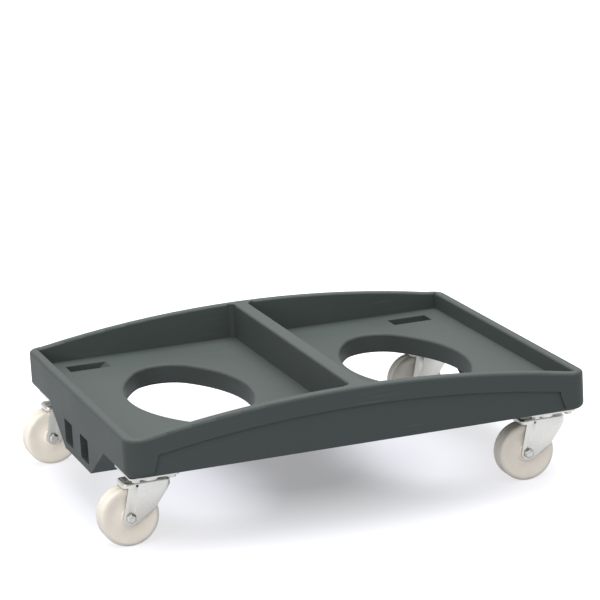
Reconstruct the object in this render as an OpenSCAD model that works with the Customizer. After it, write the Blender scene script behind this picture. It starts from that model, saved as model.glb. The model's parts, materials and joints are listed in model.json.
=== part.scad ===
// Stacking dolly for insulated food carriers: a double-walled moulded deck on four swivel castors.
// The origin lies on the floor below the middle of the overall box. +X runs along the deck's length,
// +Y from the front long rim to the back one, and +Z up.

/* [Deck] */
// Length of the deck
deck_length = 815; // [780:5:900]
// Width of the deck
deck_width = 660; // [620:5:760]
// Thickness of the double-walled slab under the bays
slab_thickness = 36; // [32:1:44]
// Height of the end rims above the bay floors
end_rim_height = 30; // [24:1:40]
// Height of the long rims above the bay floors at their crown
crown_height = 64; // [50:1:80]
// Thickness of the long rims
long_rim = 19; // [16:0.5:24]
// Thickness of the end rims where they meet the bay floor
end_rim = 18.5; // [16:0.5:24]
// Width of the divider along its top
divider_width = 27.5; // [22:0.5:34]
// Draft of the divider and of the end rims in degrees
draft = 1.5; // [0.5:0.5:3]

/* [Deck edges] */
// Radius of the upright outer corners
corner_radius = 28; // [22:1:34]
// Rounding along the lower outer edge
lower_edge = 10; // [6:1:14]
// Rounding along the outer top edge of the rims
outer_edge = 6; // [4:0.5:8]
// Rounding along the inner top edge of the rims and along the divider
inner_edge = 4; // [2:0.5:5]
// Radius of the upright fillets between the divider and the long rims
divider_fillet = 12; // [8:1:18]

/* [Deck openings] */
// Half length of an oval opening across the bay
oval_reach = 195.5; // [170:0.5:215]
// Half width of an oval opening along the deck
oval_half_width = 104.5; // [90:0.5:115]
// Rounding of the lips of an oval opening
oval_lip = 5; // [3:0.5:7]
// Length of a wheel well in the bay floor
well_length = 75; // [66:1:84]
// Width of a wheel well
well_width = 38; // [38:0.5:44]
// Depth of a wheel well
well_depth = 18; // [12:1:22]
// Length of the sloped end of a wheel well
well_slope = 20; // [12:1:26]

/* [Long faces] */
// Height of the plain band between the crown and the arched panel
panel_band = 32.5; // [26:0.5:40]
// Depth of the arched panel
panel_depth = 4; // [2:0.5:6]
// Distance from the middle to the panel's upper corner
panel_top_reach = 356; // [320:1:366]
// Distance from the middle to the panel's lower corner
panel_low_reach = 367; // [330:1:372]

/* [End lobes] */
// Drop of a lobe below the underside of the deck
lobe_drop = 56; // [40:1:64]
// Half width of a lobe along its lower edge
lobe_low_half = 84; // [80:1:100]
// Half width of a lobe at the underside of the deck
lobe_top_half = 170; // [140:1:176]
// Depth of a lobe along the deck
lobe_depth = 55; // [45:1:65]
// Width of a pocket in the lobe
pocket_width = 51; // [40:1:54]
// Height of a pocket
pocket_height = 43; // [34:1:45]
// Depth of a pocket
pocket_depth = 38; // [28:1:42]
// Distance between the centres of the two pockets
pocket_spacing = 103; // [90:1:110]

/* [Castors] */
// Distance from the middle of the deck to the swivel axes along the deck
castor_x = 355; // [335:1:360]
// Distance from the middle of the deck to the swivel axes across the deck
castor_y = 252; // [240:1:256]
// Height of a castor from the floor to the top of its plate
castor_height = 125; // [122:0.5:130]
// Distance that the axle trails behind the swivel axis
trail = 38; // [34:0.5:40]
// Drop of the moulded castor pads below the underside of the deck
pad_drop = 6; // [4:0.5:10]
// Length of the top plate along the deck
plate_length = 85; // [82:1:94]
// Width of the top plate across the deck
plate_width = 100; // [96:1:110]
// Thickness of the top plate
plate_thickness = 3; // [2.5:0.25:4]
// Spacing of the plate's holes along the deck
hole_spacing_x = 60; // [58:1:66]
// Spacing of the plate's holes across the deck
hole_spacing_y = 80; // [76:1:86]

/* [Wheels] */
// Diameter of a wheel
wheel_diameter = 100; // [96:0.5:102]
// Width of a wheel's tread
wheel_width = 36; // [32:0.5:37]
// Rounding of the wheel's shoulders
wheel_shoulder = 6; // [3:0.5:9]
// Depth of the dished faces
wheel_dish = 2.5; // [1:0.25:4]
// Width of the wheel's hub
hub_width = 38; // [36:0.25:38.5]
// Radius of the wheel's hub
hub_radius = 16; // [13:0.5:20]

/* [Forks] */
// Thickness of the fork's sheet
sheet = 2.5; // [2:0.25:3]
// Clear width between the fork's cheeks
fork_gap = 39; // [38.75:0.25:40]
// Height of the crown below the castor's top
crown_drop = 15; // [14.5:0.5:17]
// Distance from the swivel axis to the front of the crown
crown_front = 34; // [30:1:38]
// Distance from the swivel axis to the back of the crown
crown_back = 49; // [46:1:51]
// Radius of the cheek's end around the axle
cheek_end = 12.5; // [11.5:0.5:14]

/* [Hidden] */
$fn = 96;

// Shared clearances
overlap = 1;
fit_gap = 0.05;
running_gap = 0.08;
edge_bite = 0.05;

// Heights above the floor
underside_z = castor_height + pad_drop;
floor_z = underside_z + slab_thickness;
end_z = floor_z + end_rim_height;
crown_z = floor_z + crown_height;

// The trailing wheels reach past the deck on one side, and the overall box is centred on the origin
wheel_overhang = castor_x + trail + wheel_diameter / 2 - deck_length / 2;
deck_shift = max(wheel_overhang, 0) / 2;

// Arch of the long rims: a circle through the crown and the two ends of the straight stretch
arch_half = deck_length / 2 - corner_radius;
arch_step = 0.05;
arch_rise = crown_z - end_z - arch_step;
arch_radius = (arch_half * arch_half + arch_rise * arch_rise) / (2 * arch_rise);
arch_angle = asin((arch_half + overlap) / arch_radius);
arch_bite = 0.1;
arch_fn = 720;

// Bay walls: the divider and end rim faces lean outwards from the floor up
lean = tan(draft);
divider_foot = divider_width / 2 + crown_height * lean;
bay_end = deck_length / 2 - end_rim;
bay_end_top = bay_end + end_rim_height * lean;
bay_side = deck_width / 2 - long_rim;
bay_middle = (divider_foot + bay_end) / 2;

// Centre of the fillet beside the divider, which bites slightly into both walls
fillet_bite = 0.3;
fillet_x = divider_width / 2 + divider_fillet - fillet_bite;
fillet_y = bay_side - divider_fillet + fillet_bite;

// Four-centre oval on triangles with sides of 3, 4 and 5 units, so that its arcs meet without a kink
oval_unit = (oval_reach - oval_half_width) / 2;
oval_end_radius = oval_half_width - oval_unit;
oval_tip = 3 * oval_unit;
oval_flank_offset = 4 * oval_unit;
oval_flank_radius = oval_half_width + oval_flank_offset;
oval_joint_y = oval_tip + 3 / 5 * oval_end_radius;
flank_fn = 192;

// A wheel well takes the inward-trailing wheel of a dolly stacked on top
well_shift = 3.5;
well_x = castor_x - trail - well_shift;

// End lobes
lobe_rise = lower_edge + 2;
lobe_lean = (lobe_top_half - lobe_low_half) / lobe_drop;
lobe_z = underside_z - lobe_drop;
pocket_corner = 4;

// Castor plate, its screws and inserts
pad_inset = 4;
plate_corner = 8;
screw_radius = 4;
screw_hole_radius = 4.5;
screw_length = 19;
screw_head_flats = 13;
screw_head_height = 5.3;
screw_flange_radius = 8.5;
screw_flange = 1.2;
insert_radius = 6;
insert_length = 20;
insert_depth = insert_length + 1;

// Swivel head, measured down from the top of the plate
pin_radius = 6;
pin_head_radius = 9.5;
pin_head_height = 2.5;
pin_hole_radius = 6.6;
dish_drop = 12.5;
dish_floor = 3;
dish_mouth = 19.5;
dish_foot = 13.5;
race_radius = 16;
race_drop = 11;
ball_radius = 3;
ball_gap = 0.15;
ball_count = 15;
race_ring_outer = 21.5;
race_ring_height = 5;
race_ring_inner = 12.5;
race_ring_step = 18;
race_ring_foot = 1.5;
race_ring_slope = 14;
low_race_radius = 10.3;
low_ball_radius = 2.2;
low_ball_count = 13;
cup_radius = 13.5;
cup_height = 3.5;
cup_gap = 2.5;

plate_under = castor_height - plate_thickness;
crown_top = castor_height - crown_drop;
crown_under = crown_top - sheet;
low_race_z = crown_under - low_ball_radius;
cup_top = crown_under - cup_gap;
cup_under = cup_top - cup_height;

// Fork
fork_width = fork_gap + 2 * sheet;
fork_length = crown_front + crown_back;
fork_corner = 10;
fork_bend = 5;
crown_lip = 9;
nose_lip = 13;
nose_back = 3;
knee_x = 5;
axle_z = wheel_diameter / 2;
knee = [knee_x, axle_z + cheek_end];
nose = [crown_front - nose_back, crown_top - nose_lip];

// Limits of the flat cheeks, between the rounded corners of the crown
flat_back = fork_corner - crown_back;
flat_front = knee + (nose - knee) * (crown_front - fork_corner - knee[0]) / (nose[0] - knee[0]);

// Axle
axle_radius = 5;
sleeve_radius = 7.5;
axle_flats = 16;
axle_head_height = 4.5;
axle_nut_height = 6;
axle_tail = 1.5;

// Flat face of the wheel's rim beside its shoulder
rim_flat = 4;

CORNERS = [["front_left", -1, -1], ["front_right", 1, -1], ["back_left", -1, 1], ["back_right", 1, 1]];
PIECES = ["top_plate", "plate_screws", "thread_inserts", "king_pin", "upper_balls", "lower_balls",
    "race_cup", "fork", "axle_sleeve", "axle_bolt", "axle_nut", "wheel"];

DECK_GREY = [0.30, 0.32, 0.31];
ZINC = [0.80, 0.80, 0.78];
BRASS = [0.78, 0.62, 0.30];
NYLON = [0.88, 0.84, 0.78];

// Point where a line from a point outside touches a circle, on the side given by its sign
function touch_point(centre, radius, point, side) =
    let (
        run = point - centre,
        turn = atan2(run[1], run[0]) + side * acos(radius / norm(run))
    )
    centre + radius * [cos(turn), sin(turn)];

// Corner left over outside a quarter round, which meets both faces at a slight angle
module edge_scrap(radius, bite = edge_bite) {
    difference() {
        square(radius + overlap);
        circle(radius + bite);
    }
}

// Section with two rounded lower corners, standing on y = 0
module soft_section(width, height, edge) {
    difference() {
        translate([-width / 2, 0]) square([width, height]);
        for (side = [0, 1])
            mirror([side, 0])
                translate([width / 2 - edge, edge]) mirror([0, 1]) edge_scrap(edge);
    }
}

// Upright block with rounded corners and a rounded lower edge, standing on z = 0
module turned_block(length, width, height, corner, edge) {
    rotate([90, 0, 90])
        linear_extrude(length - 2 * corner, center = true) soft_section(width, height, edge);
    rotate([90, 0, 0])
        linear_extrude(width - 2 * corner, center = true) soft_section(length, height, edge);
    for (x = [-1, 1], y = [-1, 1])
        translate([x * (length / 2 - corner), y * (width / 2 - corner), 0])
            rotate_extrude()
                intersection() {
                    soft_section(2 * corner, height, edge);
                    square([corner, height]);
                }
}

// Flat plate with rounded corners, standing on z = 0
module round_plate(length, width, height, corner) {
    translate([-length / 2 + corner, -width / 2, 0]) cube([length - 2 * corner, width, height]);
    translate([-length / 2, -width / 2 + corner, 0]) cube([length, width - 2 * corner, height]);
    for (x = [-1, 1], y = [-1, 1])
        translate([x * (length / 2 - corner), y * (width / 2 - corner), 0]) cylinder(height, r = corner);
}

// Turns a section drawn in X and Z about the centre of the arch, between two angles from the crown
module along_arch(from_angle, to_angle) {
    translate([0, 0, crown_z - arch_radius])
        rotate([90, 0, 0])
            rotate([0, 0, 90 - to_angle])
                rotate_extrude(angle = to_angle - from_angle, $fn = arch_fn) children();
}

// Everything below the arched long rims and the flat ends
module arch_envelope() {
    reach = deck_length;
    rotate([90, 0, 0])
        linear_extrude(2 * deck_width, center = true) {
            translate([-reach, 0]) square([2 * reach, end_z]);
            intersection() {
                translate([0, crown_z - arch_radius]) circle(arch_radius, $fn = arch_fn);
                translate([-arch_half, 0]) square([2 * arch_half, crown_z + overlap]);
            }
        }
}

// Roundings along both top edges of the arched stretches
module arch_edge_cut() {
    for (y = [0, 1])
        mirror([0, y, 0]) {
            arched_stretch()
                along_arch(-arch_angle, arch_angle)
                    translate([arch_radius - outer_edge, deck_width / 2 - outer_edge])
                        edge_scrap(outer_edge, arch_bite);
            for (x = [0, 1])
                mirror([x, 0, 0])
                    arched_stretch()
                        along_arch(asin(fillet_x / arch_radius), arch_angle)
                            translate([arch_radius - inner_edge, bay_side + inner_edge])
                                mirror([0, 1]) edge_scrap(inner_edge, arch_bite);
        }
}

// Keeps what lies over the arched stretch
module arched_stretch() {
    intersection() {
        children();
        translate([-arch_half, -deck_width, 0]) cube([2 * arch_half, 2 * deck_width, 2 * crown_z]);
    }
}

// Rounding along the outer top edge of the +X end and its corners
module outer_edge_cut() {
    spread = deck_width / 2 - corner_radius;
    translate([deck_length / 2 - outer_edge, 0, end_z - outer_edge])
        rotate([90, 0, 0]) linear_extrude(2 * spread, center = true) edge_scrap(outer_edge);
    for (y = [0, 1])
        mirror([0, y, 0])
            translate([arch_half, spread, end_z - outer_edge])
                rotate_extrude(angle = 90)
                    translate([corner_radius - outer_edge, 0]) edge_scrap(outer_edge);
}

// Rounding along the flat inner top edges of the bay on the +X side and along the divider
module inner_edge_cut() {
    for (y = [0, 1])
        mirror([0, y, 0])
            translate([(arch_half + bay_end_top) / 2, bay_side + inner_edge, end_z - inner_edge])
                rotate([90, 0, 90])
                    linear_extrude(bay_end_top - arch_half, center = true)
                        mirror([1, 0]) edge_scrap(inner_edge);
    translate([bay_end_top + inner_edge, 0, end_z - inner_edge])
        rotate([90, 0, 0])
            linear_extrude(2 * bay_side, center = true) mirror([1, 0]) edge_scrap(inner_edge);
    translate([divider_width / 2 - inner_edge, 0, crown_z - inner_edge])
        rotate([90, 0, 0])
            linear_extrude(2 * fillet_y, center = true) edge_scrap(inner_edge);
}

// Space of the bay on the +X side, with upright fillets beside the divider
module bay_space() {
    top = crown_height + overlap;
    difference() {
        translate([0, 0, floor_z])
            rotate([90, 0, 0])
                linear_extrude(2 * bay_side, center = true)
                    polygon([
                        [divider_foot, 0],
                        [bay_end, 0],
                        [bay_end + top * lean, top],
                        [divider_foot - top * lean, top]
                    ]);
        for (side = [0, 1])
            mirror([0, side, 0])
                translate([fillet_x, fillet_y, floor_z - overlap])
                    linear_extrude(top + 2 * overlap)
                        difference() {
                            translate([-2 * divider_fillet, 0]) square(2 * divider_fillet);
                            circle(divider_fillet);
                        }
    }
}

// Outline of an oval opening
module oval_outline() {
    for (side = [-1, 1])
        translate([0, side * oval_tip]) circle(oval_end_radius);
    intersection() {
        translate([oval_flank_offset, 0]) circle(oval_flank_radius, $fn = flank_fn);
        translate([-oval_flank_offset, 0]) circle(oval_flank_radius, $fn = flank_fn);
        square([4 * oval_half_width, 2 * oval_joint_y], center = true);
    }
}

// Oval opening through the slab
module oval_opening() {
    translate([0, 0, underside_z - overlap])
        linear_extrude(slab_thickness + 2 * overlap) oval_outline();
}

// Turned section that rounds an upper lip of the given wall radius, standing on z = 0
module lip_scrap(wall) {
    translate([wall + oval_lip, -oval_lip]) mirror([1, 0]) edge_scrap(oval_lip);
}

// Keeps the part of a turned lip over an outline
module over_outline() {
    intersection() {
        children(0);
        translate([0, 0, -2 * oval_lip]) linear_extrude(4 * oval_lip) children(1);
    }
}

// Rounding of an oval opening's upper lip
module oval_lip_cut() {
    unit = oval_flank_radius / 4;
    for (turn = [0, 180])
        rotate([0, 0, turn]) {
            translate([0, oval_tip, 0])
                over_outline() {
                    rotate_extrude() lip_scrap(oval_end_radius);
                    polygon([[0, 0], [4, 3] * unit, [0, 6] * unit, [-4, 3] * unit]);
                }
            translate([-oval_flank_offset, 0, 0])
                over_outline() {
                    rotate_extrude($fn = flank_fn) lip_scrap(oval_flank_radius);
                    polygon([[0, 0], [4, -3] * unit, [8, 0] * unit, [4, 3] * unit]);
                }
        }
}

// Wheel well of the bay on the +X side: its end nearer the divider slopes
module wheel_well() {
    rotate([90, 0, 0])
        linear_extrude(well_width, center = true)
            polygon([
                [-well_length / 2 - well_slope / well_depth * overlap, overlap],
                [-well_length / 2 + well_slope, -well_depth],
                [well_length / 2, -well_depth],
                [well_length / 2, overlap]
            ]);
}

// Arched panel sunk into a long face, drawn in X and Z
module panel_cut() {
    shoulder_z = crown_z - panel_band - arch_rise;
    rotate([90, 0, 0])
        linear_extrude(panel_depth + overlap)
            intersection() {
                translate([0, crown_z - arch_radius]) circle(arch_radius - panel_band, $fn = arch_fn);
                polygon([
                    [-panel_low_reach, underside_z - overlap],
                    [panel_low_reach, underside_z - overlap],
                    [panel_top_reach, shoulder_z],
                    [panel_top_reach, crown_z],
                    [-panel_top_reach, crown_z],
                    [-panel_top_reach, shoulder_z]
                ]);
            }
}

// Lobe under the +X end, with its two pockets left to pocket_space
module lobe() {
    rise = lobe_drop + lobe_rise;
    translate([deck_length / 2, 0, lobe_z])
        rotate([90, 0, -90])
            linear_extrude(lobe_depth)
                polygon([
                    [-lobe_low_half, 0],
                    [lobe_low_half, 0],
                    [lobe_low_half + rise * lobe_lean, rise],
                    [-lobe_low_half - rise * lobe_lean, rise]
                ]);
}

// Pockets that open in the end face of a lobe
module pocket_space() {
    for (side = [-1, 1])
        translate([deck_length / 2 - pocket_depth, side * pocket_spacing / 2, underside_z - pocket_height / 2])
            rotate([0, 90, 0])
                round_plate(pocket_height, pocket_width, pocket_depth + overlap, pocket_corner);
}

// Centres of the four castors
module at_castors() {
    for (corner = CORNERS)
        translate([corner[1] * castor_x, corner[2] * castor_y, 0]) children();
}

// Centres of a castor's four screws
module at_screws() {
    for (x = [-1, 1], y = [-1, 1])
        translate([x * hole_spacing_x / 2, y * hole_spacing_y / 2, 0]) children();
}

// Deck with its edges still sharp, both ends and both bays alike
module sharp_deck() {
    difference() {
        union() {
            intersection() {
                translate([0, 0, underside_z])
                    turned_block(deck_length, deck_width, slab_thickness + crown_height + overlap,
                        corner_radius, lower_edge);
                arch_envelope();
            }
            for (side = [0, 1])
                mirror([side, 0, 0]) lobe();
            at_castors()
                translate([0, 0, castor_height])
                    round_plate(plate_length - 2 * pad_inset, plate_width - 2 * pad_inset,
                        pad_drop + overlap, plate_corner);
        }
        for (side = [0, 1])
            mirror([side, 0, 0]) {
                bay_space();
                pocket_space();
                translate([bay_middle, 0, 0]) oval_opening();
                for (y = [-1, 1])
                    translate([well_x, y * castor_y, floor_z]) wheel_well();
            }
        for (side = [0, 1])
            mirror([0, side, 0])
                translate([0, panel_depth - deck_width / 2, 0]) panel_cut();
        at_castors() at_screws()
            translate([0, 0, castor_height - overlap])
                cylinder(insert_depth + overlap, r = insert_radius + fit_gap);
    }
}

// The moulded deck with its rims and lips rounded
module deck() {
    color(DECK_GREY)
        translate([deck_shift, 0, 0])
            difference() {
                difference() {
                    sharp_deck();
                    arch_edge_cut();
                }
                for (side = [0, 1])
                    mirror([side, 0, 0]) {
                        outer_edge_cut();
                        inner_edge_cut();
                        translate([bay_middle, 0, floor_z]) oval_lip_cut();
                        translate([bay_middle, 0, underside_z]) mirror([0, 0, 1]) oval_lip_cut();
                    }
            }
}

// Sheet plate with a pressed dish whose flank is the upper ball race
module top_plate() {
    color(ZINC)
        difference() {
            union() {
                translate([0, 0, plate_under])
                    round_plate(plate_length, plate_width, plate_thickness, plate_corner);
                translate([0, 0, castor_height - dish_drop])
                    cylinder(dish_drop - plate_thickness, dish_foot, dish_mouth);
            }
            translate([0, 0, castor_height - dish_drop + dish_floor])
                cylinder(dish_drop - dish_floor + overlap, dish_foot - dish_floor, dish_mouth - dish_floor);
            translate([0, 0, castor_height - dish_drop - overlap])
                cylinder(dish_floor + 2 * overlap, r = pin_radius + fit_gap);
            ball_groove(race_radius, castor_height - race_drop, ball_radius);
            at_screws()
                translate([0, 0, plate_under - overlap])
                    cylinder(plate_thickness + 2 * overlap, r = screw_hole_radius);
        }
}

// Groove that a ring of balls runs in
module ball_groove(ring, height, ball) {
    translate([0, 0, height])
        rotate_extrude() translate([ring, 0]) circle(ball + ball_gap);
}

// Ring of separate balls
module ball_ring(ring, height, ball, count) {
    for (i = [0:count - 1])
        rotate([0, 0, i * 360 / count]) translate([ring, 0, height]) sphere(ball);
}

module upper_balls() {
    color(ZINC) ball_ring(race_radius, castor_height - race_drop, ball_radius, ball_count);
}

module lower_balls() {
    color(ZINC) ball_ring(low_race_radius, low_race_z, low_ball_radius, low_ball_count);
}

// Cup riveted below the crown, which carries the lower balls
module race_cup() {
    color(ZINC)
        difference() {
            translate([0, 0, cup_under]) cylinder(cup_height, r = cup_radius);
            translate([0, 0, cup_under - overlap]) cylinder(cup_height + 2 * overlap, r = pin_radius + fit_gap);
            ball_groove(low_race_radius, low_race_z, low_ball_radius);
        }
}

// Rivet through the plate, the crown and the cup, with a head at each end
module king_pin() {
    color(ZINC) {
        translate([0, 0, cup_under]) cylinder(castor_height - dish_drop + dish_floor - cup_under, r = pin_radius);
        translate([0, 0, castor_height - dish_drop + dish_floor]) cylinder(pin_head_height, r = pin_head_radius);
        translate([0, 0, cup_under - pin_head_height]) cylinder(pin_head_height, pin_radius, pin_head_radius);
    }
}

// Hexagonal prism by its width across the flats
module hex_prism(flats, height) {
    cylinder(height, r = flats / 2 / cos(30), $fn = 6);
}

module plate_screws() {
    color(ZINC)
        at_screws() {
            translate([0, 0, plate_under]) cylinder(screw_length, r = screw_radius);
            translate([0, 0, plate_under - screw_flange]) cylinder(screw_flange, r = screw_flange_radius);
            translate([0, 0, plate_under - screw_head_height]) hex_prism(screw_head_flats, screw_head_height);
        }
}

module thread_inserts() {
    color(BRASS)
        at_screws()
            translate([0, 0, castor_height])
                difference() {
                    cylinder(insert_length, r = insert_radius);
                    translate([0, 0, -overlap])
                        cylinder(insert_length + 2 * overlap, r = screw_radius + fit_gap);
                }
}

// Side outline of a cheek in X and Z, up to where the crown bends over
module cheek_side() {
    centre = [-trail, axle_z];
    back_top = [flat_back, crown_top - crown_lip];
    polygon([
        [flat_back, crown_top - fork_bend],
        back_top,
        touch_point(centre, cheek_end, back_top, 1),
        centre,
        touch_point(centre, cheek_end, knee, -1),
        knee,
        flat_front,
        [flat_front[0], crown_top - fork_bend]
    ]);
    translate(centre) circle(cheek_end);
}

// Side outline of the crown with its lips in X and Z
module crown_side() {
    polygon([
        [-crown_back - overlap, crown_top + overlap],
        [-crown_back - overlap, crown_top - crown_lip],
        [flat_back, crown_top - crown_lip],
        flat_front,
        nose,
        [crown_front + overlap, nose[1]],
        [crown_front + overlap, crown_top + overlap]
    ]);
}

// Hollow pressing that the crown is cut from, open below
module fork_pressing() {
    depth = crown_top - flat_front[1];
    middle = (crown_front - crown_back) / 2;
    translate([middle, 0, crown_top])
        mirror([0, 0, 1])
            difference() {
                turned_block(fork_length, fork_width, depth + overlap, fork_corner, fork_bend);
                translate([0, 0, sheet])
                    turned_block(fork_length - 2 * sheet, fork_gap, depth + 2 * overlap,
                        fork_corner - sheet, fork_bend - sheet);
            }
}

// Raised ring on the crown that holds the upper balls
module crown_race() {
    translate([0, 0, crown_top])
        rotate_extrude()
            polygon([
                [race_ring_inner, -sheet / 2],
                [race_ring_outer, -sheet / 2],
                [race_ring_outer, race_ring_height],
                [race_ring_step, race_ring_height],
                [race_ring_slope, race_ring_foot],
                [race_ring_inner, race_ring_foot]
            ]);
}

// Pressed fork: crown, ball race, back and front lips and two cheeks
module fork() {
    color(ZINC)
        difference() {
            union() {
                intersection() {
                    fork_pressing();
                    rotate([90, 0, 0]) linear_extrude(2 * fork_width, center = true) crown_side();
                }
                for (side = [0, 1])
                    mirror([0, side, 0])
                        translate([0, fork_width / 2, 0]) rotate([90, 0, 0]) linear_extrude(sheet) cheek_side();
                crown_race();
            }
            ball_groove(race_radius, castor_height - race_drop, ball_radius);
            ball_groove(low_race_radius, low_race_z, low_ball_radius);
            translate([0, 0, crown_under - overlap]) cylinder(2 * sheet + 2 * overlap, r = pin_hole_radius);
            translate([-trail, fork_width, axle_z])
                rotate([90, 0, 0]) cylinder(2 * fork_width, r = axle_radius + fit_gap);
        }
}

// Places a piece drawn along Z on the axle, pointing along +Y
module on_axle(start) {
    translate([-trail, start, axle_z]) rotate([-90, 0, 0]) children();
}

module axle_sleeve() {
    color(ZINC)
        on_axle(-fork_gap / 2)
            difference() {
                cylinder(fork_gap, r = sleeve_radius);
                translate([0, 0, -overlap]) cylinder(fork_gap + 2 * overlap, r = axle_radius + fit_gap);
            }
}

module axle_bolt() {
    color(ZINC) {
        on_axle(-fork_width / 2) cylinder(fork_width + axle_nut_height + axle_tail, r = axle_radius);
        on_axle(-fork_width / 2 - axle_head_height) hex_prism(axle_flats, axle_head_height);
    }
}

module axle_nut() {
    color(ZINC)
        on_axle(fork_width / 2)
            difference() {
                hex_prism(axle_flats, axle_nut_height);
                translate([0, 0, -overlap]) cylinder(axle_nut_height + 2 * overlap, r = axle_radius + fit_gap);
            }
}

// Half section of the wheel: distance from the axle along X, along the axle in Y
module wheel_section() {
    tread = wheel_diameter / 2;
    rim_inner = tread - wheel_shoulder - rim_flat;
    dish_slope = wheel_dish;
    difference() {
        union() {
            translate([0, -wheel_width / 2 + wheel_shoulder])
                square([tread, wheel_width - 2 * wheel_shoulder]);
            translate([0, -wheel_width / 2]) square([tread - wheel_shoulder, wheel_width]);
            for (side = [-1, 1])
                translate([tread - wheel_shoulder, side * (wheel_width / 2 - wheel_shoulder)])
                    circle(wheel_shoulder);
            translate([0, -hub_width / 2]) square([hub_radius, hub_width]);
        }
        for (side = [0, 1])
            mirror([0, side])
                polygon([
                    [hub_radius, hub_width / 2],
                    [hub_radius + dish_slope, wheel_width / 2 - wheel_dish],
                    [rim_inner - dish_slope, wheel_width / 2 - wheel_dish],
                    [rim_inner, wheel_width / 2],
                    [rim_inner, hub_width / 2 + overlap],
                    [hub_radius, hub_width / 2 + overlap]
                ]);
        translate([-overlap, -hub_width]) square([sleeve_radius + running_gap + overlap, 2 * hub_width]);
    }
}

module wheel() {
    color(NYLON) on_axle(0) rotate_extrude() wheel_section();
}

// Draws one castor piece about its swivel axis
module castor_piece(piece) {
    if (piece == "top_plate") top_plate();
    if (piece == "plate_screws") plate_screws();
    if (piece == "thread_inserts") thread_inserts();
    if (piece == "king_pin") king_pin();
    if (piece == "upper_balls") upper_balls();
    if (piece == "lower_balls") lower_balls();
    if (piece == "race_cup") race_cup();
    if (piece == "fork") fork();
    if (piece == "axle_sleeve") axle_sleeve();
    if (piece == "axle_bolt") axle_bolt();
    if (piece == "axle_nut") axle_nut();
    if (piece == "wheel") wheel();
}

deck();
for (corner = CORNERS, piece = PIECES)
    translate([deck_shift + corner[1] * castor_x, corner[2] * castor_y, 0]) castor_piece(piece);
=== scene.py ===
"""Stacking dolly for food carriers: finishes, turned wheels, forks, axle ends and a plain studio stage."""

import json
import math

import bpy
from mathutils import Matrix, Vector

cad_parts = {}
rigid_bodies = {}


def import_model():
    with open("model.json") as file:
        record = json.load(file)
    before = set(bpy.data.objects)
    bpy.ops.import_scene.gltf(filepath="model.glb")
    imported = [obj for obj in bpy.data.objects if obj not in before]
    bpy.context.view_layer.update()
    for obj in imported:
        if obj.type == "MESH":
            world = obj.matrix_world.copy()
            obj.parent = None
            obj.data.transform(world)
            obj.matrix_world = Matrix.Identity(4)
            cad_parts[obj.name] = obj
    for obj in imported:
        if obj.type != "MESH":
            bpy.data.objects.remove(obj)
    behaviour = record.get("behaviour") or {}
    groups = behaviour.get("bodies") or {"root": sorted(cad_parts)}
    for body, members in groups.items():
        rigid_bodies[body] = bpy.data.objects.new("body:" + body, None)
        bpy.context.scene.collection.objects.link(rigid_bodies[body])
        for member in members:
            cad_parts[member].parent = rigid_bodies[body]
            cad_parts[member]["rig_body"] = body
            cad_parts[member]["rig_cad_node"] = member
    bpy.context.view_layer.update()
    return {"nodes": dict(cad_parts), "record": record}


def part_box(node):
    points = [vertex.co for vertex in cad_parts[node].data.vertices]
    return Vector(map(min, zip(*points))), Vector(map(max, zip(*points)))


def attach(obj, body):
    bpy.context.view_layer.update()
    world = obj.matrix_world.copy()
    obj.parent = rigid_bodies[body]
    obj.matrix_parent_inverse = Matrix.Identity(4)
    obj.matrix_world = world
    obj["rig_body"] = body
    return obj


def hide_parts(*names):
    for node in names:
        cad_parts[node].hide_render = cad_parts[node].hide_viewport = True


bl_info = {
    "name": "Stacking dolly",
    "version": (1, 0, 0),
    "blender": (4, 5, 0),
    "location": "View3D > Sidebar > Dolly",
    "description": "Finishes and castor details of a moulded stacking dolly, with a plain studio stage",
    "category": "Object",
}

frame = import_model()

CORNERS = ("front_left", "front_right", "back_left", "back_right")
MM = 0.001

# Castor sizes that the frame gives
wheel_low, wheel_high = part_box("front_left_wheel")
bolt_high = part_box("front_left_axle_bolt")[1]
TREAD_RADIUS = (wheel_high.z - wheel_low.z) / 2
HUB_WIDTH = wheel_high.y - wheel_low.y

# Modelling: distances, angles in degrees and counts
CLOSE = MM / 10             # points this near count as level
MERGE_DISTANCE = MM / 100   # points this near are one
FLAT_ANGLE = 0.5            # faces that meet flatter than this are one
EDGE_SEGMENTS = 2           # steps of every softened edge
WHEEL_SIDES = 128
SHOULDER_SEGMENTS = 7
CAP_SIDES = 16              # a face with more corners than this is an end of the wheel
RING = 1.2 * MM             # width of each step of the low ring round the hub
RING_RISE = 0.3 * MM
RING_STEPS = 4
HUB_FOOT = 0.4              # share of the last step that stays flat before the hub rises
BORE_CHAMFER = 0.8 * MM
SEAM_DEPTH = 0.12 * MM
WHEEL_EDGE = 0.35 * MM
RELIEF_SIDES = 32
CUT_REACH = 1.2             # length of the hole cutter as a share of the fork's width
HEAD_SIDES = 6
HEAD_RIM = 1.2 * MM         # rim round the shallow dimple on the head
HEAD_DIMPLE = 0.3 * MM
HEAD_EDGE = 0.3 * MM
SHANK_SIDES = 48
SHANK_EDGE = 0.7 * MM

# Colours that aren't settings
WHITE = (1.0, 1.0, 1.0, 1.0)
BALL_STEEL = (0.75, 0.75, 0.76)
BRASS = (0.66, 0.50, 0.22)
FLOOR_COLOUR = (0.285, 0.287, 0.325, 1.0)
AMBIENT_COLOUR = (0.97, 0.98, 1.0, 1.0)

# Stage, in metres
SHADE_INNER = 0.12          # the floor glows least within this distance of the middle, a painted shade round the object
SHADE_OUTER = 0.64          # and is plain white from here on
SHADE_GLOW = 0.30           # strength of the least glow
LAMP_AIM = (0, 0, 0.2)
SPOT_PLACE = (-2.0, -2.2, 0.7)
SPOT_ANGLE = 4.5


# Properties

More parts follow.
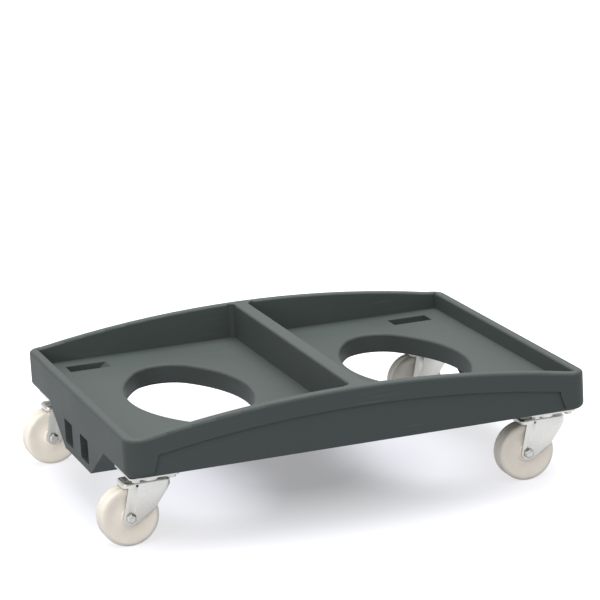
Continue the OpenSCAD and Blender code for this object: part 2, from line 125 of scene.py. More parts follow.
class DollyFinish(bpy.types.PropertyGroup):
    """Colours and grain of the dolly's materials"""
    deck_colour: bpy.props.FloatVectorProperty(
        name="Deck colour", description="Colour of the moulded deck", subtype="COLOR", size=3,
        min=0.0, max=1.0, default=(0.0505, 0.0612, 0.0566))
    deck_grain: bpy.props.FloatProperty(
        name="Deck grain", description="Width of the moulded grain of the deck", unit="LENGTH",
        min=0.0002, max=0.01, default=0.0011)
    deck_roughness: bpy.props.FloatProperty(
        name="Deck roughness", description="Mean roughness of the deck", subtype="FACTOR",
        min=0.1, max=1.0, default=0.6)
    zinc_colour: bpy.props.FloatVectorProperty(
        name="Zinc colour", description="Colour of the plated forks and plates", subtype="COLOR", size=3,
        min=0.0, max=1.0, default=(0.54, 0.545, 0.53))
    passivate_colour: bpy.props.FloatVectorProperty(
        name="Passivate colour", description="Warm tint that the plating shows in patches", subtype="COLOR",
        size=3, min=0.0, max=1.0, default=(0.555, 0.54, 0.475))
    # Olive tint of the painted shade in the top plates' race, partly a grease colour
    grease_and_shade_colour: bpy.props.FloatVectorProperty(
        name="Grease colour", description="Colour of the greased ball race in a top plate", subtype="COLOR",
        size=3, min=0.0, max=1.0, default=(0.16, 0.14, 0.07))
    wheel_colour: bpy.props.FloatVectorProperty(
        name="Wheel colour", description="Colour of the solid plastic wheels", subtype="COLOR", size=3,
        min=0.0, max=1.0, default=(0.93, 0.86, 0.74))


class DollyCastor(bpy.types.PropertyGroup):
    """Sizes of the details that are turned or pressed on the castors"""
    tread_width: bpy.props.FloatProperty(
        name="Tread width", description="Width of a wheel over its rims", unit="LENGTH", default=36 * MM)
    shoulder: bpy.props.FloatProperty(
        name="Shoulder", description="Rounding of a wheel's shoulders", unit="LENGTH", default=6 * MM)
    rim_flat: bpy.props.FloatProperty(
        name="Rim flat", description="Flat face beside the shoulder", unit="LENGTH", default=3 * MM)
    dish: bpy.props.FloatProperty(
        name="Dish", description="Depth of the dished faces", unit="LENGTH", default=2.2 * MM)
    dish_slope: bpy.props.FloatProperty(
        name="Dish slope", description="Width of the slope from the rim into the dish", unit="LENGTH",
        default=6.5 * MM)
    hub_radius: bpy.props.FloatProperty(
        name="Hub radius", description="Radius of a wheel's hub", unit="LENGTH", default=16 * MM)
    bore_radius: bpy.props.FloatProperty(
        name="Bore radius", description="Radius of a wheel's bore", unit="LENGTH", default=7.58 * MM)
    seam: bpy.props.FloatProperty(
        name="Parting seam", description="Width of the parting seam round the tread", unit="LENGTH",
        default=1.0 * MM)
    sheet_edge: bpy.props.FloatProperty(
        name="Sheet edge", description="Rounding of the fork's pressed edges", unit="LENGTH",
        default=0.45 * MM)
    head_flats: bpy.props.FloatProperty(
        name="Head flats", description="Width across the flats of the axle's head", unit="LENGTH",
        default=16 * MM)
    head_height: bpy.props.FloatProperty(
        name="Head height", description="Height of the axle's head", unit="LENGTH", default=6.0 * MM)
    head_chamfer: bpy.props.FloatProperty(
        name="Head chamfer", description="Width of the chamfer on the axle's head", unit="LENGTH",
        default=3.0 * MM)
    shank_radius: bpy.props.FloatProperty(
        name="Shank radius", description="Radius of the axle bolt", unit="LENGTH", default=5 * MM)
    crown_rise: bpy.props.FloatProperty(
        name="Crown rise", description="Height of the crown's top above the lower race cup", unit="LENGTH",
        default=5 * MM)
    relief_radius: bpy.props.FloatProperty(
        name="Relief radius", description="Radius of the relief hole where the crown bends into a cheek",
        unit="LENGTH", default=2.4 * MM)
    relief_back: bpy.props.FloatProperty(
        name="Relief place", description="How far the relief hole lies behind the swivel axis",
        unit="LENGTH", default=24 * MM)
    relief_drop: bpy.props.FloatProperty(
        name="Relief drop", description="How far the relief hole lies below the top of the crown",
        unit="LENGTH", default=6.5 * MM)


class DollyStage(bpy.types.PropertyGroup):
    """Camera, lamps and floor"""
    camera_place: bpy.props.FloatVectorProperty(
        name="Camera place", description="Where the camera stands", subtype="TRANSLATION", unit="LENGTH",
        size=3, default=(-1.44883, -4.34046, 1.46361))
    camera_target: bpy.props.FloatVectorProperty(
        name="Camera target", description="Point in the middle of the view", subtype="TRANSLATION",
        unit="LENGTH", size=3, default=(0.03004, 0.0, 0.30289))
    camera_roll: bpy.props.FloatProperty(
        name="Camera roll", description="Turn of the camera about its line of sight", subtype="ANGLE",
        default=math.radians(-3.231))
    lens: bpy.props.FloatProperty(
        name="Lens", description="Focal length in millimetres", min=10.0, max=400.0, default=162.1)
    floor_half: bpy.props.FloatProperty(
        name="Floor reach", description="Half side of the floor", unit="LENGTH", default=9.0)
    key_power: bpy.props.FloatProperty(
        name="Key lamp", description="Power of the overhead lamp in watts", min=0.0, default=106.0)
    side_power: bpy.props.FloatProperty(
        name="Side lamp", description="Power of the lamp at the left end in watts", min=0.0, default=22.0)
    front_power: bpy.props.FloatProperty(
        name="Front lamp", description="Power of the broad lamp before the object in watts", min=0.0,
        default=15.0)
    spot_power: bpy.props.FloatProperty(
        name="Wheel spot", description="Power of the narrow lamp on the far left wheel in watts", min=0.0,
        default=150.0)
    ambient: bpy.props.FloatProperty(
        name="Ambient", description="Strength of the even light around the object", min=0.0, default=0.80)


# Mesh helpers

def deselect():
    """Leaves nothing selected and no object in edit mode"""
    if bpy.context.object and bpy.context.object.mode != "OBJECT":
        bpy.ops.object.mode_set(mode="OBJECT")
    bpy.ops.object.select_all(action="DESELECT")


def begin_edit(piece):
    """Opens a piece in edit mode with nothing selected"""
    deselect()
    bpy.context.view_layer.objects.active = piece
    piece.select_set(True)
    bpy.ops.object.mode_set(mode="EDIT")
    bpy.ops.mesh.select_all(action="DESELECT")
    bpy.ops.object.mode_set(mode="OBJECT")


def select_faces(piece, wanted):
    """Selects the faces that wanted(face) accepts and returns to edit mode"""
    bpy.ops.object.mode_set(mode="OBJECT")
    for vertex in piece.data.vertices:
        vertex.select = False
    for edge in piece.data.edges:
        edge.select = False
    for face in piece.data.polygons:
        face.select = wanted(face)
    bpy.ops.object.mode_set(mode="EDIT")
    bpy.context.tool_settings.mesh_select_mode = (False, False, True)


def select_edges(piece, wanted):
    """Selects the edges whose two end points wanted(a, b) accepts and returns to edit mode"""
    bpy.ops.object.mode_set(mode="OBJECT")
    for item in (piece.data.vertices, piece.data.polygons):
        for part in item:
            part.select = False
    for edge in piece.data.edges:
        a, b = (piece.data.vertices[i].co for i in edge.vertices)
        edge.select = wanted(a, b)
    bpy.ops.object.mode_set(mode="EDIT")
    bpy.context.tool_settings.mesh_select_mode = (False, True, False)


def apply_modifiers(piece):
    """Applies every modifier of a piece"""
    deselect()
    bpy.context.view_layer.objects.active = piece
    piece.select_set(True)
    for modifier in list(piece.modifiers):
        bpy.ops.object.modifier_apply(modifier=modifier.name)


def soften(piece, width, angle):
    """Rounds a piece's edges that are sharper than an angle in degrees"""
    bevel = piece.modifiers.new("edges", "BEVEL")
    bevel.width = width
    bevel.segments = EDGE_SEGMENTS
    bevel.limit_method = "ANGLE"
    bevel.angle_limit = math.radians(angle)
    bevel.miter_outer = "MITER_ARC"
    apply_modifiers(piece)


def finish_piece(piece, name, material, smooth_angle=35):
    """Puts a piece's place in its mesh, shades it and gives it its material"""
    deselect()
    bpy.context.view_layer.objects.active = piece
    piece.select_set(True)
    bpy.ops.object.transform_apply(location=True, rotation=True, scale=True)
    bpy.ops.object.shade_smooth_by_angle(angle=math.radians(smooth_angle))
    piece.name = name
    piece.data.name = name
    piece.data.materials.clear()
    piece.data.materials.append(material)


def cylinder_along_y(sides, radius, length, middle=(0, 0, 0)):
    """A new capped cylinder along Y with its place in its mesh"""
    deselect()
    bpy.ops.mesh.primitive_cylinder_add(
        vertices=sides, radius=radius, depth=length, end_fill_type="NGON", location=middle,
        rotation=(math.pi / 2, 0, 0))
    bpy.ops.object.transform_apply(location=True, rotation=True, scale=True)
    return bpy.context.object


def from_axle(point):
    """Distance of a point from the Y axis"""
    return Vector((point.x, 0, point.z)).length


def copy_piece(piece, move):
    """A copy with its own mesh, moved by a vector"""
    twin = piece.copy()
    twin.data = piece.data.copy()
    bpy.context.scene.collection.objects.link(twin)
    twin.data.transform(Matrix.Translation(move))
    return twin


def axle_point(corner):
    """Middle of a corner's wheel"""
    low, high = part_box(f"{corner}_wheel")
    return (low + high) / 2


def swivel_point(corner):
    """Middle of a corner's king pin, on its swivel axis"""
    low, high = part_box(f"{corner}_king_pin")
    return (low + high) / 2


# Shader helpers

def new_group(name, inputs, outputs):
    """An empty shader group with float inputs and named outputs"""
    group = bpy.data.node_groups.new(name, "ShaderNodeTree")
    for label, value in inputs:
        socket = group.interface.new_socket(label, in_out="INPUT", socket_type="NodeSocketFloat")
        socket.default_value = value
    for label in outputs:
        group.interface.new_socket(label, in_out="OUTPUT", socket_type="NodeSocketFloat")
    return group, group.nodes.new("NodeGroupInput"), group.nodes.new("NodeGroupOutput")


def noise_in(tree, coordinates, scale, detail, roughness=0.5):
    """A noise texture on given coordinates; scale is a number or a socket"""
    noise = tree.nodes.new("ShaderNodeTexNoise")
    noise.inputs["Detail"].default_value = detail
    noise.inputs["Roughness"].default_value = roughness
    tree.links.new(coordinates, noise.inputs["Vector"])
    if isinstance(scale, bpy.types.NodeSocket):
        tree.links.new(scale, noise.inputs["Scale"])
    else:
        noise.inputs["Scale"].default_value = scale
    return noise.outputs["Fac"]


def spread(tree, value, low, high, out_low=0.0, out_high=1.0):
    """Maps a value from one range to another, clamped"""
    node = tree.nodes.new("ShaderNodeMapRange")
    node.inputs["From Min"].default_value = low
    node.inputs["From Max"].default_value = high
    node.inputs["To Min"].default_value = out_low
    node.inputs["To Max"].default_value = out_high
    tree.links.new(value, node.inputs["Value"])
    return node.outputs["Result"]


def calculate(tree, operation, first, second):
    """Result of a maths node on a socket and a socket or number"""
    node = tree.nodes.new("ShaderNodeMath")
    node.operation = operation
    tree.links.new(first, node.inputs[0])
    if isinstance(second, bpy.types.NodeSocket):
        tree.links.new(second, node.inputs[1])
    else:
        node.inputs[1].default_value = second
    return node.outputs["Value"]


def length_of(tree, vector):
    """Length of a vector socket"""
    node = tree.nodes.new("ShaderNodeVectorMath")
    node.operation = "LENGTH"
    tree.links.new(vector, node.inputs[0])
    return node.outputs["Value"]


def mix_colour(tree, factor, first, second):
    """Blend of two colours, each a socket or a tuple"""
    node = tree.nodes.new("ShaderNodeMix")
    node.data_type = "RGBA"
    tree.links.new(factor, node.inputs["Factor"])
    for label, colour in (("A", first), ("B", second)):
        socket = [s for s in node.inputs if s.name == label and s.type == "RGBA"][0]
        if isinstance(colour, bpy.types.NodeSocket):
            tree.links.new(colour, socket)
        else:
            socket.default_value = (*colour, 1.0)
    return [s for s in node.outputs if s.type == "RGBA"][0]


def shade(colour, factor):
    """A colour made lighter or darker"""
    return tuple(min(1.0, part * factor) for part in colour)


def clouded(tree, cloud, colour, dark, light):
    """A colour that drifts with a cloud between a darker and a lighter tone"""
    return mix_colour(tree, cloud, shade(colour, dark), shade(colour, light))


def tinted(tree, mask, base, colour, share, tone):
    """A base with a toned colour laid over it by a share of a mask"""
    return mix_colour(tree, calculate(tree, "MULTIPLY", mask, share), base, shade(colour, tone))


def mottle_group():
    """Broad clouds and fine specks that change over a moulded surface"""
    tree, given, result = new_group(
        "mottle", (("Cloud scale", 6.0), ("Speck scale", 900.0)), ("Cloud", "Speck"))
    place = tree.nodes.new("ShaderNodeTexCoord").outputs["Object"]
    cloud = noise_in(tree, place, given.outputs["Cloud scale"], detail=5.0, roughness=0.6)
    speck = noise_in(tree, place, given.outputs["Speck scale"], detail=2.0)
    tree.links.new(spread(tree, cloud, low=0.32, high=0.68), result.inputs["Cloud"])
    tree.links.new(spread(tree, speck, low=0.35, high=0.65), result.inputs["Speck"])
    return tree


def scuff_group():
    """Faint scratches drawn out along one direction, gathered in worn patches"""
    tree, given, result = new_group(
        "scuffs", (("Patch scale", 9.0), ("Along", 14.0), ("Across", 420.0)), ("Mask",))
    place = tree.nodes.new("ShaderNodeTexCoord").outputs["Object"]
    stretch = tree.nodes.new("ShaderNodeCombineXYZ")
    for axis, source in (("X", "Along"), ("Y", "Across"), ("Z", "Across")):
        tree.links.new(given.outputs[source], stretch.inputs[axis])
    scaled = tree.nodes.new("ShaderNodeVectorMath")
    scaled.operation = "MULTIPLY"
    tree.links.new(place, scaled.inputs[0])
    tree.links.new(stretch.outputs["Vector"], scaled.inputs[1])
    lines = spread(tree, noise_in(tree, scaled.outputs["Vector"], 1.0, detail=2.0), low=0.60, high=0.70)
    worn = noise_in(tree, place, given.outputs["Patch scale"], detail=3.0)
    patches = spread(tree, worn, low=0.50, high=0.70)
    tree.links.new(calculate(tree, "MULTIPLY", lines, patches), result.inputs["Mask"])
    return tree


def race_shade_and_grease_group():
    """Dark olive film on whatever lies near one of the four swivel axes: painted shade of the race gap,
    tinted like grease
    """
    tree, given, result = new_group("race_shade_and_grease", (("Reach", 0.018), ("Fade", 0.021)), ("Mask",))
    left, right = (swivel_point(corner) for corner in CORNERS[:2])
    folded = tree.nodes.new("ShaderNodeTexCoord").outputs["Object"]
    # Folds the four corners onto one and drops the height
    for operation, vector in (
            ("SUBTRACT", ((left.x + right.x) / 2, 0, 0)), ("ABSOLUTE", None),
            ("SUBTRACT", ((right.x - left.x) / 2, abs(left.y), 0)), ("MULTIPLY", (1, 1, 0))):
        step = tree.nodes.new("ShaderNodeVectorMath")
        step.operation = operation
        tree.links.new(folded, step.inputs[0])
        if vector:
            step.inputs[1].default_value = vector
        folded = step.outputs["Vector"]
    fade = tree.nodes.new("ShaderNodeMapRange")
    fade.inputs["To Min"].default_value = 1.0
    fade.inputs["To Max"].default_value = 0.0
    for label, socket in (
            ("Value", length_of(tree, folded)), ("From Min", given.outputs["Reach"]),
            ("From Max", given.outputs["Fade"])):
        tree.links.new(socket, fade.inputs[label])
    tree.links.new(fade.outputs["Result"], result.inputs["Mask"])
    return tree


def shared(name):
    """The shared shader group of that name, built on first use"""
    makers = {"mottle": mottle_group, "scuffs": scuff_group, "race_shade_and_grease": race_shade_and_grease_group}
    return bpy.data.node_groups.get(name) or makers[name]()


def grouped(tree, group, **values):
    """A group node with its inputs set"""
    node = tree.nodes.new("ShaderNodeGroup")
    node.node_tree = group
    for label, value in values.items():
        node.inputs[label.replace("_", " ").capitalize()].default_value = value
    return node


def new_material(name):
    """A material with an empty Principled shader"""
    material = bpy.data.materials.new(name)
    material.use_nodes = True
    return material, material.node_tree, material.node_tree.nodes["Principled BSDF"]


def add_bump(tree, shader, height, strength, distance):
    """Links a height to a shader's normal"""
    bump = tree.nodes.new("ShaderNodeBump")
    bump.inputs["Strength"].default_value = strength
    bump.inputs["Distance"].default_value = distance
    tree.links.new(height, bump.inputs["Height"])
    tree.links.new(bump.outputs["Normal"], shader.inputs["Normal"])


def finish_surface(tree, shader, base, mask, smooth, rough):
    """Links a base colour and a roughness that a mask moves from smooth to rough"""
    tree.links.new(base, shader.inputs["Base Color"])
    tree.links.new(spread(tree, mask, 0.0, 1.0, smooth, rough), shader.inputs["Roughness"])


def deck_material(finish):
    """Satin moulded plastic with a fine grain, soft clouds and faint scuffs"""
    material, tree, shader = new_material("deck_plastic")
    mottle = grouped(tree, shared("mottle"), cloud_scale=5.0, speck_scale=1.0 / finish.deck_grain)
    scuffs = grouped(tree, shared("scuffs"), patch_scale=7.0)
    cloud, speck = mottle.outputs["Cloud"], mottle.outputs["Speck"]
    base = clouded(tree, cloud, finish.deck_colour, dark=0.95, light=1.09)
    base = tinted(tree, speck, base, finish.deck_colour, share=0.35, tone=1.25)
    base = tinted(tree, scuffs.outputs["Mask"], base, finish.deck_colour, share=0.30, tone=2.6)
    finish_surface(
        tree, shader, base, cloud, smooth=finish.deck_roughness - 0.04, rough=finish.deck_roughness + 0.05)
    shader.inputs["Specular IOR Level"].default_value = 0.21
    add_bump(tree, shader, speck, strength=0.28, distance=0.00025)
    return material


def zinc_material(finish, name, tone, roughness, greased_and_shaded=False):
    """Bright zinc plating on rolled sheet, with warm and cool passivate patches, and on the top plates
    painted shade of the race gap tinted like grease
    """
    material, tree, shader = new_material(name)
    mottle = grouped(tree, shared("mottle"), cloud_scale=22.0, speck_scale=700.0)
    scuffs = grouped(tree, shared("scuffs"), patch_scale=30.0, along=60.0, across=1500.0)
    cloud, speck = mottle.outputs["Cloud"], mottle.outputs["Speck"]
    bright = shade(finish.zinc_colour, tone)
    base = mix_colour(tree, cloud, shade(finish.passivate_colour, tone), bright)
    base = tinted(tree, speck, base, bright, share=0.5, tone=0.86)
    base = tinted(tree, scuffs.outputs["Mask"], base, bright, share=0.4, tone=0.62)
    # Painted shade of the race gap round each swivel axis, tinted like grease
    if greased_and_shaded:
        race_shade_film = grouped(tree, shared("race_shade_and_grease"), reach=0.0205, fade=0.0225)
        base = mix_colour(tree, race_shade_film.outputs["Mask"], base, finish.grease_and_shade_colour)
    finish_surface(tree, shader, base, speck, smooth=roughness - 0.05, rough=roughness + 0.08)
    shader.inputs["Metallic"].default_value = 1.0
    add_bump(tree, shader, speck, strength=0.12, distance=0.0001)
    return material


def nylon_material(finish):
    """Solid off-white plastic, a little dull and soiled where it runs"""
    material, tree, shader = new_material("wheel_nylon")
    mottle = grouped(tree, shared("mottle"), cloud_scale=28.0, speck_scale=1400.0)
    scuffs = grouped(tree, shared("scuffs"), patch_scale=40.0, along=120.0, across=900.0)
    base = clouded(tree, mottle.outputs["Cloud"], finish.wheel_colour, dark=0.95, light=1.04)
    base = tinted(tree, scuffs.outputs["Mask"], base, finish.wheel_colour, share=0.35, tone=0.55)
    finish_surface(tree, shader, base, mottle.outputs["Speck"], smooth=0.34, rough=0.46)
    add_bump(tree, shader, mottle.outputs["Speck"], strength=0.10, distance=0.0001)
    return material


def metal_material(name, colour, roughness):
    """Plain machined metal with fine turning marks"""
    material, tree, shader = new_material(name)
    mottle = grouped(tree, shared("mottle"), cloud_scale=60.0, speck_scale=1800.0)
    base = clouded(tree, mottle.outputs["Cloud"], colour, dark=0.9, light=1.05)
    speck = mottle.outputs["Speck"]
    finish_surface(tree, shader, base, speck, smooth=roughness - 0.04, rough=roughness + 0.06)
    shader.inputs["Metallic"].default_value = 1.0
    add_bump(tree, shader, speck, strength=0.08, distance=0.0001)
    return material


def finished(slot, finish):
    """The material of a slot of the record, built on first use"""
    known = bpy.data.materials.get(f"finish_{slot}")
    if known:
        return known
    makers = {
        "deck_plastic": lambda: deck_material(finish),
        "zinc": lambda: zinc_material(finish, "zinc", tone=1.0, roughness=0.30),
        "plate_zinc": lambda: zinc_material(finish, "plate_zinc", tone=0.9, roughness=0.30, greased_and_shaded=True),
        "bolt_steel": lambda: zinc_material(finish, "bolt_steel", tone=0.86, roughness=0.26),
        "ball_steel": lambda: metal_material("ball_steel", BALL_STEEL, roughness=0.12),
        "insert_brass": lambda: metal_material("insert_brass", BRASS, roughness=0.3),
        "wheel_nylon": lambda: nylon_material(finish),
    }
    material = makers[slot]()
    material.name = f"finish_{slot}"
    return material


def dress(node, slot, finish):
    """Gives a CAD node its material"""
    material = finished(slot, finish)
    for place in frame["nodes"][node].material_slots:
        place.material = material


# Operators

class DOLLY_OT_stage(bpy.types.Operator):
    """Build the floor, the lamps, the even surrounding light and the camera"""
    bl_idname = "dolly.stage"
    bl_label = "Build stage"

    def execute(self, context):
        stage = context.scene.dolly_stage
        self.floor(stage)
        self.world(context, stage)
        self.lamps(stage)
        self.camera(context, stage)
        context.scene.view_settings.view_transform = "Standard"
        return {"FINISHED"}

    def floor(self, stage):
        """Pale floor that stays white in the view and keeps the object's shadow; its glow fades towards the
        middle, which paints shade round the object
        """
        deselect()
        bpy.ops.mesh.primitive_plane_add(size=2 * stage.floor_half, location=(0, 0, 0))
        plane = bpy.context.object
        plane.name = "floor"
        material, tree, shader = new_material("floor_pale")
        shader.inputs["Base Color"].default_value = FLOOR_COLOUR
        shader.inputs["Roughness"].default_value = 0.9
        shader.inputs["Specular IOR Level"].default_value = 0.0
        path = tree.nodes.new("ShaderNodeLightPath")
        seen = calculate(tree, "MAXIMUM", path.outputs["Is Camera Ray"], path.outputs["Is Glossy Ray"])
        distance = length_of(tree, tree.nodes.new("ShaderNodeTexCoord").outputs["Object"])
        # The weaker glow near the middle paints shade on the floor round the object
        glow = spread(tree, distance, SHADE_INNER, SHADE_OUTER, SHADE_GLOW, 1.0)
        shader.inputs["Emission Color"].default_value = WHITE
        tree.links.new(calculate(tree, "MULTIPLY", seen, glow), shader.inputs["Emission Strength"])
        plane.data.materials.append(material)

    def world(self, context, stage):
        """Even light around the object; the view and reflections see white"""
        world = bpy.data.worlds.new("studio")
        context.scene.world = world
        world.use_nodes = True
        tree = world.node_tree
        even = tree.nodes["Background"]
        even.inputs["Color"].default_value = AMBIENT_COLOUR
        even.inputs["Strength"].default_value = stage.ambient
        white = tree.nodes.new("ShaderNodeBackground")
        white.inputs["Color"].default_value = WHITE
        white.inputs["Strength"].default_value = 1.0
        path = tree.nodes.new("ShaderNodeLightPath")
        seen = path.outputs["Is Camera Ray"]
        for label in ("Is Glossy Ray", "Is Transmission Ray"):
            seen = calculate(tree, "MAXIMUM", seen, path.outputs[label])
        choice = tree.nodes.new("ShaderNodeMixShader")
        tree.links.new(seen, choice.inputs["Fac"])
        tree.links.new(even.outputs["Background"], choice.inputs[1])
        tree.links.new(white.outputs["Background"], choice.inputs[2])
        tree.links.new(choice.outputs["Shader"], tree.nodes["World Output"].inputs["Surface"])

    def lamps(self, stage):
        """Broad lamps overhead, at the left end and in front, and a spot on the far left wheel"""
        broad = (
            ("key_lamp", (0.3, 0.5, 2.9), 2.4, stage.key_power),
            ("side_lamp", (-2.7, -2.1, 1.45), 1.2, stage.side_power),
            ("front_lamp", (-0.2, -2.0, 2.7), 2.4, stage.front_power),
        )
        for name, place, size, power in broad:
            self.lamp("AREA", name, place, LAMP_AIM, power).size = size
        spot = self.lamp("SPOT", "wheel_spot", SPOT_PLACE, axle_point("back_left"), stage.spot_power)
        spot.spot_size = math.radians(SPOT_ANGLE)
        spot.spot_blend = 0.7
        spot.shadow_soft_size = 0.12

    def lamp(self, kind, name, place, target, power):
        """Data of a new lamp that points at a target"""
        deselect()
        bpy.ops.object.light_add(type=kind, location=place)
        lamp = bpy.context.object
        lamp.name = name
        lamp.data.energy = power
        lamp.rotation_euler = (Vector(target) - Vector(place)).to_track_quat("-Z", "Y").to_euler()
        return lamp.data

    def camera(self, context, stage):
        """Camera at the photograph's viewing angle"""
        deselect()
        place = Vector(stage.camera_place)
        bpy.ops.object.camera_add(location=place)
        camera = bpy.context.object
        camera.name = "camera"
        level = (Vector(stage.camera_target) - place).to_track_quat("-Z", "Y").to_matrix()
        camera.rotation_euler = (level @ Matrix.Rotation(stage.camera_roll, 3, "Z")).to_euler()
        camera.data.lens = stage.lens
        camera.data.sensor_width = 36.0
        camera.data.clip_end = 100.0
        context.scene.camera = camera


class DOLLY_OT_deck(bpy.types.Operator):
    """Give the moulded deck its grained plastic"""
    bl_idname = "dolly.deck"
    bl_label = "Finish deck"

    def execute(self, context):
        dress("deck", "deck_plastic", context.scene.dolly_finish)
        return {"FINISHED"}


class DOLLY_OT_hardware(bpy.types.Operator):
    """Give the plates, screws, races, balls, pins and inserts their metals"""
    bl_idname = "dolly.hardware"
    bl_label = "Finish hardware"

    def execute(self, context):
        for row in frame["record"]["subparts"]:
            if row["node"] != "deck":
                slot = "plate_zinc" if row["node"].endswith("_top_plate") else row["material_slot"]
                dress(row["node"], slot, context.scene.dolly_finish)
        return {"FINISHED"}


class DOLLY_OT_wheels(bpy.types.Operator):
    """Turn one solid wheel with dished faces and copy it to the four castors"""
    bl_idname = "dolly.wheels"
    bl_label = "Build wheels"

    def execute(self, context):
        castor = context.scene.dolly_castor
        wheel = self.turned_wheel(castor)
        material = finished("wheel_nylon", context.scene.dolly_finish)
        finish_piece(wheel, "wheel_pattern", material)
        for corner in CORNERS:
            piece = copy_piece(wheel, axle_point(corner))
            piece.name = f"{corner}_wheel_turned"
            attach(piece, f"{corner}_roller")
            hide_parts(f"{corner}_wheel")
        bpy.data.objects.remove(wheel)
        return {"FINISHED"}

    def turned_wheel(self, castor):
        """A wheel about the Y axis at the origin"""
        half = castor.tread_width / 2
        wheel = cylinder_along_y(WHEEL_SIDES, TREAD_RADIUS, castor.tread_width)
        begin_edit(wheel)
        select_edges(wheel, lambda a, b: abs(a.y) > half - CLOSE and abs(a.y - b.y) < CLOSE)
        bpy.ops.mesh.bevel(offset=castor.shoulder, segments=SHOULDER_SEGMENTS, profile=0.5, affect="EDGES")
        self.seam(wheel, castor)
        rise = HUB_WIDTH / 2 - half
        face_radius = TREAD_RADIUS - castor.shoulder
        floor_radius = castor.hub_radius + RING_STEPS * RING
        # Each step: how far the face shrinks and how far it rises from the last one
        steps = (
            (castor.rim_flat, 0.0),
            (castor.dish_slope, -castor.dish),
            (face_radius - castor.rim_flat - castor.dish_slope - floor_radius, 0.0),
            (RING, RING_RISE),
            (RING, 0.0),
            (RING, -RING_RISE),
            (RING * HUB_FOOT, 0.0),
            (RING * (1.0 - HUB_FOOT), castor.dish + rise),
            (castor.hub_radius - castor.bore_radius - BORE_CHAMFER, 0.0),
            (BORE_CHAMFER, -BORE_CHAMFER),
        )
        for shrink, lift in steps:
            select_faces(wheel, self.is_cap)
            bpy.ops.mesh.inset(thickness=shrink, depth=lift, use_even_offset=True)
        select_faces(wheel, self.is_cap)
        bpy.ops.mesh.delete(type="FACE")
        mouth = castor.bore_radius + 2 * CLOSE
        select_edges(wheel, lambda a, b: from_axle(a) < mouth and from_axle(b) < mouth)
        bpy.ops.mesh.bridge_edge_loops()
        bpy.ops.object.mode_set(mode="OBJECT")
        soften(wheel, WHEEL_EDGE, angle=28)
        return wheel

    def is_cap(self, face):
        """Whether a face closes one end of the wheel"""
        return len(face.vertices) > CAP_SIDES

    def seam(self, wheel, castor):
        """A low parting seam round the middle of the tread"""
        for side in (-1, 1):
            bpy.ops.mesh.select_all(action="SELECT")
            bpy.ops.mesh.bisect(plane_co=(0, side * castor.seam / 2, 0), plane_no=(0, 1, 0))
        select_faces(wheel, lambda face: abs(face.center.y) < castor.seam / 2
                     and from_axle(face.center) > TREAD_RADIUS / 2)
        bpy.ops.mesh.inset(thickness=castor.seam / 4, depth=0.0)
        scale = 1.0 - SEAM_DEPTH / TREAD_RADIUS
        bpy.ops.transform.resize(value=(scale, 1.0, scale), center_override=(0, 0, 0))


class DOLLY_OT_forks(bpy.types.Operator):
    """Round the pressed edges of the four forks and cut their relief holes"""
    bl_idname = "dolly.forks"
    bl_label = "Build forks"

    def execute(self, context):
        castor = context.scene.dolly_castor
        material = finished("zinc", context.scene.dolly_finish)
        pattern = self.pressed_fork(castor, material)
        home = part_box(f"{CORNERS[0]}_fork")[0]
        for corner in CORNERS:
            piece = copy_piece(pattern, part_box(f"{corner}_fork")[0] - home)
            piece.name = f"{corner}_fork_pressed"
            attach(piece, f"{corner}_swivel")
            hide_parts(f"{corner}_fork")
        bpy.data.objects.remove(pattern)
        return {"FINISHED"}

    def pressed_fork(self, castor, material):
        """A merged copy of the first corner's fork with relief holes and rounded sheet edges"""
        node = frame["nodes"][f"{CORNERS[0]}_fork"]
        fork = node.copy()
        fork.data = node.data.copy()
        fork.parent = None
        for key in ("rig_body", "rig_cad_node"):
            if key in fork:
                del fork[key]
        bpy.context.scene.collection.objects.link(fork)
        begin_edit(fork)
        bpy.ops.object.mode_set(mode="EDIT")
        bpy.ops.mesh.select_all(action="SELECT")
        bpy.ops.mesh.remove_doubles(threshold=MERGE_DISTANCE)
        bpy.ops.mesh.dissolve_limited(angle_limit=math.radians(FLAT_ANGLE))
        bpy.ops.object.mode_set(mode="OBJECT")
        self.relief_holes(fork, castor)
        soften(fork, castor.sheet_edge, angle=50)
        finish_piece(fork, "fork_pattern", material, smooth_angle=30)
        return fork

    def relief_holes(self, fork, castor):
        """Small holes through both cheeks where the crown bends down"""
        cup_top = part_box(f"{CORNERS[0]}_race_cup")[1].z
        axis = swivel_point(CORNERS[0])
        crown_top = cup_top + castor.crown_rise
        fork_low, fork_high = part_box(f"{CORNERS[0]}_fork")
        cutter = cylinder_along_y(
            RELIEF_SIDES, castor.relief_radius, CUT_REACH * (fork_high.y - fork_low.y),
            (axis.x - castor.relief_back, axis.y, crown_top - castor.relief_drop))
        cut = fork.modifiers.new("relief", "BOOLEAN")
        cut.operation = "DIFFERENCE"
        cut.solver = "EXACT"
        cut.object = cutter
        apply_modifiers(fork)
        bpy.data.objects.remove(cutter)


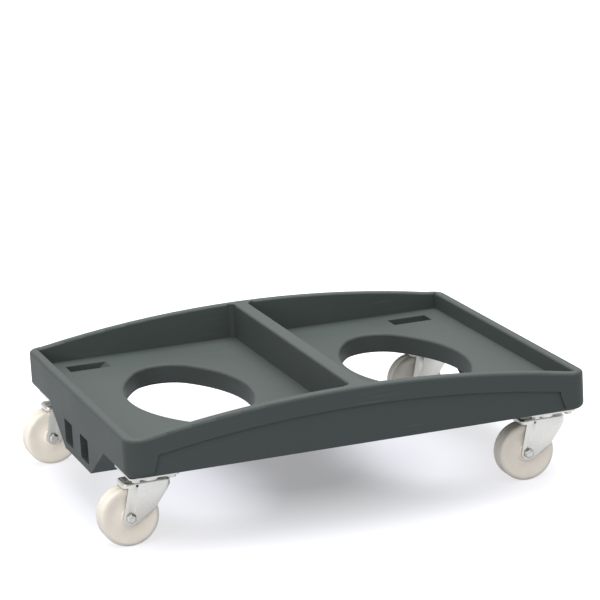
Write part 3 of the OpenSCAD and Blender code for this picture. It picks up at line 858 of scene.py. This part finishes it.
class DOLLY_OT_axle_heads(bpy.types.Operator):
    """Build the axle bolts with their chamfered hexagon heads"""
    bl_idname = "dolly.axle_heads"
    bl_label = "Build axle heads"

    def execute(self, context):
        castor = context.scene.dolly_castor
        material = finished("bolt_steel", context.scene.dolly_finish)
        pattern = self.head(castor)
        finish_piece(pattern, "axle_head_pattern", material)
        for corner in CORNERS:
            piece = copy_piece(pattern, axle_point(corner))
            piece.name = f"{corner}_axle_head"
            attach(piece, f"{corner}_swivel")
            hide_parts(f"{corner}_axle_bolt")
        bpy.data.objects.remove(pattern)
        return {"FINISHED"}

    def head(self, castor):
        """Bolt along Y about the origin: a chamfered hexagon and a shank"""
        middle = axle_point(CORNERS[0]).y
        end = bolt_high.y - middle
        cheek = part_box(f"{CORNERS[0]}_fork")[0].y - middle
        straight = castor.head_height - castor.head_chamfer
        corner_radius = castor.head_flats / 2 / math.cos(math.pi / HEAD_SIDES)
        head = cylinder_along_y(HEAD_SIDES, corner_radius, straight, (0, cheek - straight / 2, 0))
        begin_edit(head)
        select_faces(head, lambda face: face.normal.y < -0.9)
        bpy.ops.mesh.inset(thickness=castor.head_chamfer, depth=castor.head_chamfer)
        bpy.ops.mesh.inset(thickness=HEAD_RIM, depth=-HEAD_DIMPLE)
        bpy.ops.object.mode_set(mode="OBJECT")
        soften(head, HEAD_EDGE, angle=25)
        rod = cylinder_along_y(SHANK_SIDES, castor.shank_radius, end - cheek, (0, (cheek + end) / 2, 0))
        soften(rod, SHANK_EDGE, angle=60)
        deselect()
        rod.select_set(True)
        head.select_set(True)
        bpy.context.view_layer.objects.active = head
        bpy.ops.object.join()
        return head


CLASSES = (
    DollyFinish, DollyCastor, DollyStage, DOLLY_OT_stage, DOLLY_OT_deck, DOLLY_OT_hardware, DOLLY_OT_wheels,
    DOLLY_OT_forks, DOLLY_OT_axle_heads,
)
STEPS = ("stage", "deck", "hardware", "wheels", "forks", "axle_heads")


class DOLLY_PT_panel(bpy.types.Panel):
    """Lists the dolly's settings and the steps that build it"""
    bl_idname = "DOLLY_PT_panel"
    bl_label = "Stacking dolly"
    bl_space_type = "VIEW_3D"
    bl_region_type = "UI"
    bl_category = "Dolly"

    def draw(self, context):
        layout = self.layout
        for group in (context.scene.dolly_finish, context.scene.dolly_castor, context.scene.dolly_stage):
            column = layout.column(align=True)
            for name in group.bl_rna.properties.keys():
                if name not in ("rna_type", "name"):
                    column.prop(group, name)
        for step in STEPS:
            layout.operator(f"dolly.{step}")


def register():
    """Registers the classes and puts the settings on the scene"""
    for cls in (*CLASSES, DOLLY_PT_panel):
        bpy.utils.register_class(cls)
    bpy.types.Scene.dolly_finish = bpy.props.PointerProperty(type=DollyFinish)
    bpy.types.Scene.dolly_castor = bpy.props.PointerProperty(type=DollyCastor)
    bpy.types.Scene.dolly_stage = bpy.props.PointerProperty(type=DollyStage)


def unregister():
    """Takes the settings off the scene and unregisters the classes"""
    del bpy.types.Scene.dolly_stage
    del bpy.types.Scene.dolly_castor
    del bpy.types.Scene.dolly_finish
    for cls in reversed((*CLASSES, DOLLY_PT_panel)):
        bpy.utils.unregister_class(cls)


def main():
    """Builds everything in order"""
    register()
    for step in STEPS:
        if getattr(bpy.ops.dolly, step)() != {"FINISHED"}:
            raise RuntimeError(f"step {step} did not finish")


if __name__ == "__main__":
    main()
